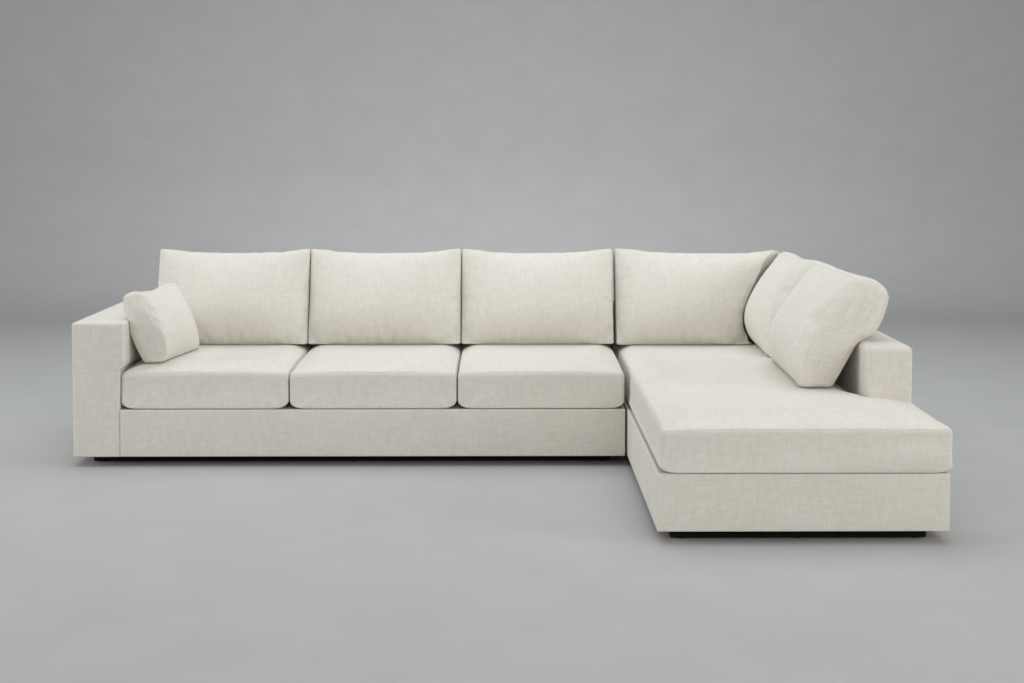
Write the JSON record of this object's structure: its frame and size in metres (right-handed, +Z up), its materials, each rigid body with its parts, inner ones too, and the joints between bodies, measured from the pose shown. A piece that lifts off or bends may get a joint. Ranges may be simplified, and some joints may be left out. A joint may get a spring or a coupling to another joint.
{
  "type": "sectional sofa",
  "caption": "Low sectional sofa in cream woven fabric with a left arm, box seat cushions, leaning back cushions and a long chaise at the right.",
  "frame": {"origin": "on the floor, under the middle of the whole footprint of both units", "axes": "+Z up, +Y to the rear back, +X to the right as seen from the front, towards the chaise"},
  "size_m": [3.5408, 2.25, 0.9156],
  "materials": {
    "upholstery_fabric": "woven linen-like cloth over padding",
    "cushion_fabric": "woven linen-like cloth with wadding",
    "cushion_core": "foam wrapped in fibre",
    "deck_fabric": "plain deck cloth over padding",
    "dust_fabric": "black felted sheet",
    "frame_wood": "raw board",
    "black_plinth": "matt black paint",
    "glide_plastic": "moulded",
    "steel": "zinc plated"
  },
  "bodies": {
    "sofa_unit": {"sofa_arm_cover": "upholstery_fabric", "sofa_back_cover": "upholstery_fabric", "sofa_front_band": "upholstery_fabric", "sofa_end_panel": "upholstery_fabric", "sofa_deck": "deck_fabric", "sofa_plinth": "black_plinth", "sofa_glides": "glide_plastic", "connector_jaws": "steel", "sofa_long_rails": "frame_wood", "sofa_end_rails": "frame_wood", "sofa_stretchers": "frame_wood", "sofa_corner_blocks": "frame_wood", "sofa_springs": "steel", "sofa_spring_clips": "steel", "sofa_arm_frame": "frame_wood", "sofa_back_frame": "frame_wood", "sofa_arm_bolts": "steel", "sofa_dust_sheet": "dust_fabric"},
    "chaise_unit": {"chaise_low_back_cover": "upholstery_fabric", "chaise_back_cover": "upholstery_fabric", "chaise_front_band": "upholstery_fabric", "chaise_left_panel": "upholstery_fabric", "chaise_right_panel": "upholstery_fabric", "chaise_deck": "deck_fabric", "chaise_plinth": "black_plinth", "chaise_glides": "glide_plastic", "connector_tongues": "steel", "chaise_end_rails": "frame_wood", "chaise_side_rails": "frame_wood", "chaise_stretchers": "frame_wood", "chaise_corner_blocks": "frame_wood", "chaise_springs": "steel", "chaise_spring_clips": "steel", "chaise_low_back_frame": "frame_wood", "chaise_back_frame": "frame_wood", "chaise_dust_sheet": "dust_fabric"},
    "seat_cushion_left": {"seat_cushion_left_cover": "cushion_fabric", "seat_cushion_left_core": "cushion_core"},
    "seat_cushion_middle": {"seat_cushion_middle_cover": "cushion_fabric", "seat_cushion_middle_core": "cushion_core"},
    "seat_cushion_right": {"seat_cushion_right_cover": "cushion_fabric", "seat_cushion_right_core": "cushion_core"},
    "chaise_cushion": {"chaise_cushion_cover": "cushion_fabric", "chaise_cushion_core": "cushion_core"},
    "back_cushion_left": {"back_cushion_left_cover": "cushion_fabric", "back_cushion_left_core": "cushion_core"},
    "back_cushion_middle": {"back_cushion_middle_cover": "cushion_fabric", "back_cushion_middle_core": "cushion_core"},
    "back_cushion_right": {"back_cushion_right_cover": "cushion_fabric", "back_cushion_right_core": "cushion_core"},
    "back_cushion_corner": {"back_cushion_corner_cover": "cushion_fabric", "back_cushion_corner_core": "cushion_core"},
    "side_cushion_far": {"side_cushion_far_cover": "cushion_fabric", "side_cushion_far_core": "cushion_core"},
    "side_cushion_near": {"side_cushion_near_cover": "cushion_fabric", "side_cushion_near_core": "cushion_core"},
    "arm_pillow": {"arm_pillow_cover": "cushion_fabric", "arm_pillow_core": "cushion_core"}
  },
  "joints": [
    {"name": "chaise_pull_apart", "type": "slide", "parent": "sofa_unit", "child": "chaise_unit", "axis": [1, 0, 0], "range_m": [0, 0.4]},
    {"name": "seat_cushion_left_pull_out", "type": "slide", "parent": "sofa_unit", "child": "seat_cushion_left", "axis": [0, -1, 0], "range_m": [0, 0.35]},
    {"name": "seat_cushion_middle_pull_out", "type": "slide", "parent": "sofa_unit", "child": "seat_cushion_middle", "axis": [0, -1, 0], "range_m": [0, 0.35]},
    {"name": "seat_cushion_right_pull_out", "type": "slide", "parent": "sofa_unit", "child": "seat_cushion_right", "axis": [0, -1, 0], "range_m": [0, 0.35]},
    {"name": "chaise_cushion_pull_out", "type": "slide", "parent": "chaise_unit", "child": "chaise_cushion", "axis": [0, -1, 0], "range_m": [0, 0.35]},
    {"name": "back_cushion_left_lift", "type": "slide", "parent": "sofa_unit", "child": "back_cushion_left", "axis": [0, 0.3338, 0.9426], "range_m": [0, 0.45]},
    {"name": "back_cushion_middle_lift", "type": "slide", "parent": "sofa_unit", "child": "back_cushion_middle", "axis": [0, 0.3338, 0.9426], "range_m": [0, 0.45]},
    {"name": "back_cushion_right_lift", "type": "slide", "parent": "sofa_unit", "child": "back_cushion_right", "axis": [0, 0.3338, 0.9426], "range_m": [0, 0.45]},
    {"name": "back_cushion_corner_lift", "type": "slide", "parent": "chaise_unit", "child": "back_cushion_corner", "axis": [0, 0.3338, 0.9426], "range_m": [0, 0.45]},
    {"name": "side_cushion_far_lift", "type": "slide", "parent": "chaise_unit", "child": "side_cushion_far", "axis": [0.3535, 0, 0.9354], "range_m": [0, 0.45]},
    {"name": "side_cushion_near_lift", "type": "slide", "parent": "chaise_unit", "child": "side_cushion_near", "axis": [0.4163, 0, 0.9092], "range_m": [0, 0.45]},
    {"name": "arm_pillow_lift", "type": "slide", "parent": "seat_cushion_left", "child": "arm_pillow", "axis": [-0.3689, 0.0651, 0.9272], "range_m": [0, 0.35]}
  ]
}
